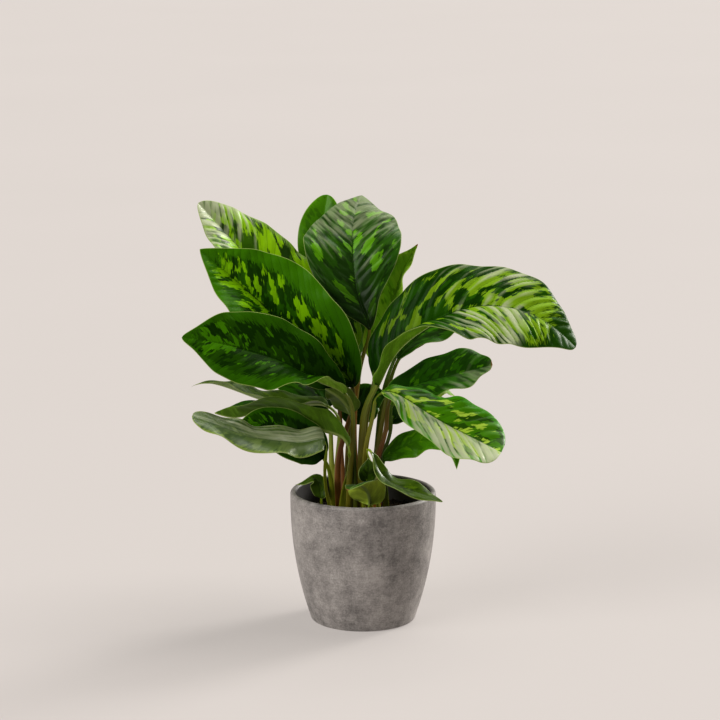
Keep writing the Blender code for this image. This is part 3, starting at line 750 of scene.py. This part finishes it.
def cement_material():
    """Grey cement: soft clouds, mottles, fine specks, scratches and faint upright brushing, with
    painted shade inside the pot.
    """
    made, n, shader = new_material("cement", 0.5)
    place = n.object_place()
    clouds = n.noise(place, 26.0, 5.0, 0.62)
    mottles = n.noise(place, 95.0, 6.0, 0.78)
    specks = n.noise(place, 650.0, 2.0)
    level = n.add("ShaderNodeMapping", place, Rotation=(0.25, 0.1, 0.0), Scale=(110, 110, 1000))
    scratches = n.noise(level, 1.0, 2.0)
    upright = n.add("ShaderNodeMapping", place, Scale=(300, 300, 28))
    brushed = n.noise(upright, 1.0, 3.0)
    layers = ((clouds, 1.8), (mottles, 1.7), (brushed, 0.25), (scratches, 0.45), (specks, 0.9))
    tone = n.total(*[n.times(n.less(layer, 0.5), amount) for layer, amount in layers], 0.5)
    body = n.mix(tone, CEMENT_DARK, CEMENT_LIGHT)
    spots = n.times(n.step(mottles, 0.60, 0.72), n.step(specks, 0.5, 0.62), 0.5)
    # The inside of the pot is painted dark as its shade
    body = n.mix(n.attribute("inside", 2), n.mix(spots, body, CEMENT_SPOTS), CEMENT_INSIDE_SHADE)
    height = n.total(n.times(mottles, 0.6), n.times(specks, 0.3), n.times(brushed, 0.3))
    finish_material(n, shader, body, n.span(mottles, 0.42, 0.62), height, 0.0006)
    return made


def soil_material():
    """Dark, damp potting soil."""
    made, n, shader = new_material("soil", 0.25)
    place = n.object_place()
    clods = n.noise(place, 260.0, 4.0, 0.6)
    fine = n.noise(place, 1400.0, 2.0)
    body = n.mix(n.step(clods, 0.35, 0.7), SOIL_DARK, SOIL_BROWN)
    body = n.mix(n.step(fine, 0.62, 0.7), body, SOIL_FIBRES)
    finish_material(n, shader, body, n.span(fine, 0.8, 0.95), n.total(clods, fine), 0.0008, 0.7)
    return made


def floor_material():
    """A plain pale floor with the faintest unevenness."""
    made, n, shader = new_material("floor", 0.2)
    clouds = n.noise(n.object_place(), 1.5, 3.0)
    finish_material(n, shader, n.mix(clouds, *FLOOR_COLOURS), n.span(clouds, 0.75, 0.85))
    shader["Emission Color"].default_value, shader["Emission Strength"].default_value = FLOOR_GLOW
    return made


# Shapes that repeat or follow a rule

SOCKET_KINDS = {float: "NodeSocketFloat", int: "NodeSocketInt", tuple: "NodeSocketVector"}


def new_tree(name, inputs):
    """A geometry tree with the named inputs, a look as the last, and one geometry output."""
    tree = bpy.data.node_groups.new(name, "GeometryNodeTree")
    tree.is_modifier = True
    socket = tree.interface.new_socket
    socket("Geometry", in_out="INPUT", socket_type="NodeSocketGeometry")
    for label, value in inputs.items():
        kind = SOCKET_KINDS[type(value)]
        socket(label, in_out="INPUT", socket_type=kind).default_value = value
    socket("Look", in_out="INPUT", socket_type="NodeSocketMaterial")
    socket("Geometry", in_out="OUTPUT", socket_type="NodeSocketGeometry")
    return tree, Nodes(tree), tree.nodes.new("NodeGroupInput").outputs


def close_tree(n, geometry, look):
    """Ends the tree in plain smooth geometry that carries its material."""
    geometry = n.shape("SetShadeSmooth", n.shape("RealizeInstances", geometry))
    geometry = n.shape("SetMaterial", geometry, Material=look)
    n.tree.links.new(geometry, n.tree.nodes.new("NodeGroupOutput").inputs[0])


def relief_tree():
    """Raises a blade between its side veins, sinks its midrib and ripples its margin."""
    tree, n, given = new_tree("Blade relief", {
        "Bulge height": BULGE_HEIGHT, "Midrib groove": MIDRIB_GROOVE,
        "Ripple height": RIPPLE_HEIGHT, "Ripple length": RIPPLE_LENGTH,
        "Unevenness": UNEVENNESS, "Seed": 0.0})
    cm, share, up = (n.shape("InputNamedAttribute", label, data_type="FLOAT_VECTOR")
                     for label in ("leaf_cm", "leaf_share", "up"))
    x, y, to_margin = n.split(cm)
    _, t, top = n.split(share)
    away = n.math("ABSOLUTE", x)
    vein = vein_place(n, away, y)
    ridge = n.math("POWER", vein_ridge(n, x, vein, given["Seed"]), BULGE_ROUNDNESS)
    ends = n.times(n.step(t, 0.0, 0.12), n.step(t, 1.0, 0.86))
    bulge = n.times(n.less(ridge, 0.6), n.step(away, 0.1, 0.9), n.step(to_margin, 0.0, 0.7), ends,
                    n.span(t, 0.4, 1.5), given["Bulge height"])
    hollow = n.math("EXPONENT", n.times(away, away, -MIDRIB_SHARPNESS))
    groove = n.times(hollow, top, n.step(t, 1.0, 0.5), n.step(t, 0.0, 0.04), given["Midrib groove"])
    turn = n.total(n.math("DIVIDE", n.times(y, 2 * math.pi), given["Ripple length"]),
                   n.times(n.math("SIGN", x), RIPPLE_SHIFT), given["Seed"])
    near = n.times(n.step(to_margin, 1.3, 0.0), ends)
    ripple = n.times(n.math("SINE", turn), near, given["Ripple height"])
    uneven = n.noise(n.join(x, y, given["Seed"]), UNEVEN_GRAIN, 1.0)
    uneven = n.times(n.less(uneven, 0.5), n.step(away, 0.0, 1.2), ends, given["Unevenness"])
    lift = n.total(bulge, ripple, uneven, n.times(groove, -1.0))
    raised = n.shape("SetPosition", given["Geometry"], Offset=n.scale(up, lift))
    close_tree(n, raised, given["Look"])
    return tree


def stalk_tree():
    """Sweeps a round section with a shallow channel along a stalk."""
    tree, n, given = new_tree("Stalk", {
        "Sides": STALK_SIDES, "Channel depth": CHANNEL_DEPTH, "Channel side": (0, 0, 1),
        "Seed": 0.0})
    ring = n.shape("CurvePrimitiveCircle", given["Sides"], Radius=1.0)
    place = n.shape("InputPosition")
    x, _, _ = n.split(place)
    depth = n.times(n.step(x, 0.55, 1.0), given["Channel depth"])
    inward = n.scale(place, n.times(depth, -1.0))
    ring = n.store(ring, "around", place, "FLOAT_VECTOR")
    ring = n.shape("SetPosition", ring, Offset=inward)
    path = n.store(given["Geometry"], "along", n.shape("SplineParameter"))
    path = n.shape("SetCurveNormal", path, mode="FREE", Normal=given["Channel side"])
    swept = n.shape("CurveToMesh", path, ring, Scale=n.shape("InputRadius"), Fill_Caps=True)
    swept = n.store(swept, "leaf_seed", given["Seed"])
    close_tree(n, swept, given["Look"])
    return tree


def crumb_tree():
    """Scatters rough crumbs of soil over a surface, most of them small."""
    tree, n, given = new_tree("Soil crumbs", {
        "Density": CRUMB_DENSITY, "Smallest": CRUMB_SIZE[0] * MM, "Largest": CRUMB_SIZE[1] * MM,
        "Seed": 4})
    _, _, up = n.split(n.shape("InputNormal"))
    points = n.shape("DistributePointsOnFaces", given["Geometry"], Seed=given["Seed"],
                     Selection=n.math("GREATER_THAN", up, 0.5), Density=given["Density"])
    crumb = n.shape("MeshIcoSphere", 1.0, 2)
    turn = n.random((0, 0, 0), (ALL_ROUND, ALL_ROUND, ALL_ROUND), 11)
    size = n.add("FunctionNodeRandomValue", None, None, 0.0, 1.0, Seed=12, data_type="FLOAT", out=1)
    size = n.math("POWER", size, 2.5)
    size = n.total(given["Smallest"], n.times(size, n.less(given["Largest"], given["Smallest"])))
    scale = n.scale(n.random(*CRUMB_SHAPES, 13), size)
    crumbs = n.shape("InstanceOnPoints", points, Instance=crumb, Rotation=turn, Scale=scale)
    rough = n.noise(n.shape("InputPosition"), 700.0, 2.0)
    push = n.times(n.less(rough, 0.5), CRUMB_ROUGHNESS * MM)
    crumbs = n.shape("SetPosition", n.shape("RealizeInstances", crumbs),
                     Offset=n.scale(n.shape("InputNormal"), push))
    both = tree.nodes.new("GeometryNodeJoinGeometry")
    tree.links.new(crumbs, both.inputs[0])
    tree.links.new(given["Geometry"], both.inputs[0])
    close_tree(n, both.outputs[0], given["Look"])
    return tree


def link(name, data):
    """A new object in the scene that holds the data."""
    placed = bpy.data.objects.new(name, data)
    bpy.context.scene.collection.objects.link(placed)
    return placed


def run_tree(source, tree, name, **inputs):
    """The plain mesh object that the tree makes of the source, which is then removed."""
    modifier = source.modifiers.new(tree.name, "NODES")
    modifier.node_group = tree
    for item in tree.interface.items_tree:
        label = item.name.replace(" ", "_").lower()
        if item.in_out == "INPUT" and label in inputs:
            modifier[item.identifier] = inputs[label]
    source.update_tag()
    ready = source.evaluated_get(bpy.context.evaluated_depsgraph_get())
    mesh = bpy.data.meshes.new_from_object(ready)
    bpy.data.objects.remove(source)
    mesh.name = name
    return link(name, mesh)


def hand_over(piece, slot, *nodes):
    """The piece stands for its solids and moves with the body. The slot is not used."""
    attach(piece, "root")
    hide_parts(*nodes)


# The leaves

def blade_shares(leaf, t, columns):
    """Places across the blade from -1 to 1 at each t: even ones, and two that round each margin."""
    half = half_width(leaf, t)
    roll = np.minimum(MARGIN_ROLL, 0.35 * half + 0.0001) / (half + 0.001)
    inner = np.linspace(0, 1, columns - 1) * (1 - roll[:, None])
    outer = np.stack([1 - 0.3 * roll, np.ones_like(t)], axis=1)
    right = np.concatenate([inner, outer], axis=1)
    return np.concatenate([-right[:, :0:-1], right], axis=1), roll


def blade_surface(leaf, t, share):
    """The blade's upper face at each t and share: points and unit normals, in mm."""
    at, start, end = leaf_curve(leaf)
    start += SEAT_GAP
    length = start + (end - start) * t
    tangent = at(np.minimum(length + 0.01, end)) - at(length - 0.01)
    tangent /= np.linalg.norm(tangent, axis=1)[:, None]
    normal = along(leaf.face, t)
    normal -= (normal * tangent).sum(1)[:, None] * tangent
    normal /= np.linalg.norm(normal, axis=1)[:, None]
    sideways = np.cross(tangent, normal)[:, None, :]
    half = half_width(leaf, t)
    midrib = (at(length) + normal * stalk_share(leaf, t)[:, None])[:, None, :]
    normal = normal[:, None, :]
    left, right = (along(lift, t)[:, None] for lift in (leaf.lift_left, leaf.lift_right))
    lift = np.radians(np.where(share < 0, left, right))[:, :, None]
    side = np.sign(share)[:, :, None]
    size = np.abs(share)[:, :, None]
    away = size * half[:, None, None]
    fold = np.minimum(FOLD_ROUNDING, 0.3 * half)[:, None, None] + 0.0001
    raised = np.sqrt(away ** 2 + fold ** 2) - fold
    shift = np.where(share < 0, 0, OTHER_HALF_SHIFT)
    wave = WAVE_HEIGHT * np.sin(2 * math.pi * leaf.waves * t[:, None] + leaf.phase + shift)
    wave = (wave * np.minimum(1, 3 * half / leaf.width)[:, None])[:, :, None]
    points = midrib + side * np.cos(lift) * away * sideways + np.sin(lift) * raised * normal
    points = points + wave * size ** 2 * normal
    arch = np.cos(lift) * normal - side * np.sin(lift) * sideways
    points = points + CAMBER * 4 * half[:, None, None] * size * (1 - size) * arch
    facing = np.cross(np.gradient(points, axis=1), np.gradient(points, axis=0))
    facing[-1] = facing[-2]
    facing /= np.linalg.norm(facing, axis=2)[:, :, None]
    return points, facing


def blade_source(name, leaf, seed):
    """The blade as a closed shell around its upper face, before its veins are raised."""
    _, start, end = leaf_curve(leaf)
    length = end - start
    rows = max(FEWEST_ROWS, round(length / ROW_STEP))
    columns = max(FEWEST_COLUMNS, round(leaf.width / 2 / COLUMN_STEP))
    even = np.linspace(0, 1, rows + 1)
    t = (1 - ROW_CROWDING) * even + ROW_CROWDING * (1 - np.cos(math.pi * even)) / 2
    share, roll = blade_shares(leaf, t, columns)
    points, facing = blade_surface(leaf, t, share)
    half = half_width(leaf, t)[:, None]
    away = np.abs(share) * half
    turn = np.clip((np.abs(share) - 1 + roll[:, None]) / roll[:, None], 0, 1)
    rounded = 1 - np.sqrt(1 - turn ** 2)
    sheet = BLADE_THICKNESS * np.minimum(1, half / 2)
    rib = leaf.radii[1] * (1 - t[:, None]) ** 0.8
    rib_depth = np.maximum(2 * rib - sheet, 0) * np.exp(-(away / (0.8 * rib + 0.2)) ** 2)
    dome = 0.9 * leaf.radii[1] * share ** 2 * (1 - smoothstep(t / BASE_DOME))[:, None]
    high = (-rounded * sheet / 2 - dome)[:, :, None]
    low = (-sheet - rib_depth * (1 - rounded) + rounded * sheet / 2 - dome)[:, :, None]

    def there_and_back(upper, lower):
        """From one margin over the upper face to the other, and back beneath."""
        return np.concatenate([upper, lower[:, -2:0:-1]], axis=1)

    ring = there_and_back(points + high * facing, points + low * facing)
    outward = there_and_back(facing, facing)
    level = np.repeat(t[:, None], ring.shape[1], axis=1)
    shares = np.stack([there_and_back(share, share), level,
                       there_and_back(1 - turn / 2, turn / 2)], axis=2)
    margin = (1 - np.abs(share)) * half / 10
    across = share * half / 10
    cm = np.stack([there_and_back(across, across), level * length / 10,
                   there_and_back(margin, margin)], axis=2)
    around = ring.shape[1]

    def flat(grid):
        """All rings but the last, and the tip as one point."""
        return np.vstack([grid[:-1].reshape(-1, 3), grid[-1, around // 4][None, :]])

    faces = [(r * around + k, r * around + (k + 1) % around,
              (r + 1) * around + (k + 1) % around, (r + 1) * around + k)
             for r in range(rows - 1) for k in range(around)]
    tip = rows * around
    faces += [((rows - 1) * around + k, (rows - 1) * around + (k + 1) % around, tip)
              for k in range(around)]
    faces.append(tuple(range(around - 1, -1, -1)))
    mesh = bpy.data.meshes.new(name)
    mesh.from_pydata((flat(ring) * MM).tolist(), [], faces)
    for label, grid in (("leaf_cm", cm), ("leaf_share", shares), ("up", outward)):
        layer = mesh.attributes.new(label, "FLOAT_VECTOR", "POINT")
        layer.data.foreach_set("vector", flat(grid).astype(np.float32).ravel())
    layer = mesh.attributes.new("leaf_seed", "FLOAT", "POINT")
    layer.data.foreach_set("value", np.full(len(mesh.vertices), seed, np.float32))
    shell = bmesh.new()
    shell.from_mesh(mesh)
    bmesh.ops.triangulate(shell, faces=[face for face in shell.faces if len(face.verts) > 4])
    bmesh.ops.recalc_face_normals(shell, faces=shell.faces)
    shell.to_mesh(mesh)
    shell.free()
    return link(name, mesh)


def stalk_source(name, leaf):
    """The stalk's path from under the soil to a little way into the blade, with its radii."""
    at, start, _ = leaf_curve(leaf)
    share = np.linspace(0, 1, STALK_POINTS)
    up = at(start * share)
    inside = at(start + np.linspace(*STALK_END, len(STALK_END_TAPER)))
    below = up[0] - np.array([(0, 0, STALK_DEPTH), (0, 0, STALK_DEPTH / 2)])
    path = np.vstack([below, up, inside])
    low, high = leaf.radii
    sheath = 1 + SHEATH_SPREAD * np.exp(-(up[:, 2] - SOIL_HEIGHT) / SHEATH_HEIGHT)
    radii = np.concatenate([[low, low * (1 + SHEATH_SPREAD)], (low + (high - low) * share) * sheath,
                            high * np.array(STALK_END_TAPER)])
    curve = bpy.data.curves.new(name, "CURVE")
    curve.dimensions = "3D"
    spline = curve.splines.new("POLY")
    spline.points.add(len(path) - 1)
    for point, place, radius in zip(spline.points, path, radii):
        point.co = (*(place * MM), 1)
        point.radius = radius * MM
    return link(name, curve)


def build_leaves():
    looks = {name: leaf_material(name, tint) for name, tint in TINTS.items()}
    stalk_looks = {name: stalk_material(name, *colours) for name, colours in STALK_COLOURS.items()}
    raising = relief_tree()
    sweep = stalk_tree()
    for number, (name, leaf) in enumerate(LEAVES.items()):
        seed = SEED_STEP * number + 1
        grown = min(1, leaf.width / FULL_WIDTH)
        relief = grown * leaf.relief
        blade = run_tree(blade_source(name, leaf, seed), raising, "leaf_" + name, seed=seed,
                         bulge_height=BULGE_HEIGHT * relief, midrib_groove=MIDRIB_GROOVE * relief,
                         ripple_height=RIPPLE_HEIGHT * grown, unevenness=UNEVENNESS * grown,
                         look=looks[leaf.tint])
        hand_over(blade, "leaf", "blade_" + name)
        stalk = run_tree(stalk_source(name, leaf), sweep, "leafstalk_" + name, seed=seed,
                         channel_side=leaf.face[0], look=stalk_looks[leaf.stalk])
        hand_over(stalk, "stalk", "stalk_" + name)


# The pot and the soil

def outer_radius(height):
    """The pot's outer radius: a long arc that stands upright near the rim."""
    below = min(height - UPRIGHT_HEIGHT, 0)
    return POT_RADIUS - WALL_CURVE_RADIUS + math.sqrt(WALL_CURVE_RADIUS ** 2 - below ** 2)


def rounding(centre, radius, start, end, steps):
    """Points on an arc between two angles in degrees, in the profile's plane."""
    angles = [math.radians(start + (end - start) * i / steps) for i in range(steps + 1)]
    return [(centre[0] + radius * math.cos(a), centre[1] + radius * math.sin(a)) for a in angles]


def turned(name, profile, look):
    """A closed shell: a profile of (radius, height) points in mm turned about Z, from axis to axis.

    It goes down on the outside, so that its faces point outwards.
    """
    (_, first), *rings, (_, last) = profile
    turn = np.arange(POT_SIDES) * 2 * math.pi / POT_SIDES
    points = [(radius * math.cos(a), radius * math.sin(a), height)
              for radius, height in rings for a in turn]
    points += [(0, 0, first), (0, 0, last)]
    start, end = len(points) - 2, len(points) - 1
    beside = [(k, (k + 1) % POT_SIDES) for k in range(POT_SIDES)]
    faces = [(start, k, following) for k, following in beside]
    for ring in range(len(rings) - 1):
        low, high = ring * POT_SIDES, (ring + 1) * POT_SIDES
        faces += [(low + following, low + k, high + k, high + following) for k, following in beside]
    faces += [(high + following, high + k, end) for k, following in beside]
    mesh = bpy.data.meshes.new(name)
    mesh.from_pydata((np.array(points) * MM).tolist(), [], faces)
    mesh.shade_smooth()
    mesh.materials.append(look)
    return link(name, mesh)


def build_pot():
    rim = POT_WALL / 2
    foot = FOOT_ROUNDING
    profile = [(radius, POT_FLOOR) for radius in (0, *FLOOR_RING_RADII)]
    profile += [(outer_radius(height) - POT_WALL, height) for height in np.linspace(*INNER_RINGS)]
    profile += rounding((POT_RADIUS - rim, POT_HEIGHT - rim), rim, 180, 0, RIM_STEPS)
    profile += [(outer_radius(height), height) for height in np.linspace(*OUTER_RINGS)]
    profile += rounding((outer_radius(foot) - foot, foot), foot, 0, -90, FOOT_STEPS)
    profile += [(radius, 0) for radius in (*UNDERSIDE_RING_RADII, 0)]
    pot = turned("cement_pot", profile, cement_material())
    # The points deep inside the wall take the painted shade
    inside = pot.data.attributes.new("inside", "FLOAT", "POINT")
    for vertex, value in zip(pot.data.vertices, inside.data):
        x, y, z = vertex.co / MM
        depth = outer_radius(z) - math.hypot(x, y)
        value.value = float(smoothstep(depth - INNER_FACE_DEPTH) * (z > POT_FLOOR - 1))
    hand_over(pot, "cement", "pot")


def build_soil():
    """A gently heaped disc of soil, with crumbs over it."""
    look = soil_material()
    edge = outer_radius(SOIL_HEIGHT) - POT_WALL - SEAT_GAP
    profile = [(0, SOIL_HEIGHT)]
    profile += [(edge * share, SOIL_HEIGHT - SOIL_HEAP * share ** 6)
                for share in np.linspace(0.01, 0.99, 30)]
    profile += [(edge, SOIL_HEIGHT - SOIL_EDGE_DROP)]
    profile += [(edge * share, SOIL_HEIGHT - SOIL_DEPTH) for share in (0.98, 0.5, 0)]
    bed = turned("soil_bed", profile, look)
    hand_over(run_tree(bed, crumb_tree(), "potting_soil", look=look), "soil", "soil")


# The floor, the light and the camera

def build_stage():
    shell = bmesh.new()
    bmesh.ops.create_circle(shell, cap_ends=True, segments=64, radius=FLOOR_RADIUS)
    mesh = bpy.data.meshes.new("floor")
    shell.to_mesh(mesh)
    shell.free()
    mesh.materials.append(floor_material())
    link("floor", mesh)


def sun(name, towards, strength, spread, tint):
    """Even light from a wide patch of sky in the given direction."""
    lamp = bpy.data.lights.new(name, "SUN")
    lamp.energy = strength
    lamp.angle = math.radians(spread)
    lamp.color = tint
    x, y, z = towards
    link(name, lamp).rotation_euler = (math.acos(z / math.sqrt(x * x + y * y + z * z)), 0,
                                       math.atan2(x, -y))


def build_light():
    scene = bpy.context.scene
    scene.world = scene.world or bpy.data.worlds.new("studio")
    scene.world.use_nodes = True
    sky = scene.world.node_tree.nodes["Background"].inputs
    sky["Color"].default_value, sky["Strength"].default_value = SKY
    for name, light in LIGHTS.items():
        sun(name, *light)
    scene.view_settings.view_transform = "Standard"
    scene.view_settings.look = "Medium High Contrast"


def build_camera():
    lens = bpy.data.cameras.new("camera")
    lens.sensor_width = 36
    lens.lens = CAMERA_LENS
    placed = link("camera", lens)
    placed.location = CAMERA_PLACE
    placed.rotation_euler = (math.radians(CAMERA_TILT), 0, 0)
    bpy.context.scene.camera = placed


def main():
    build_pot()
    build_soil()
    build_leaves()
    build_stage()
    build_light()
    build_camera()


main()
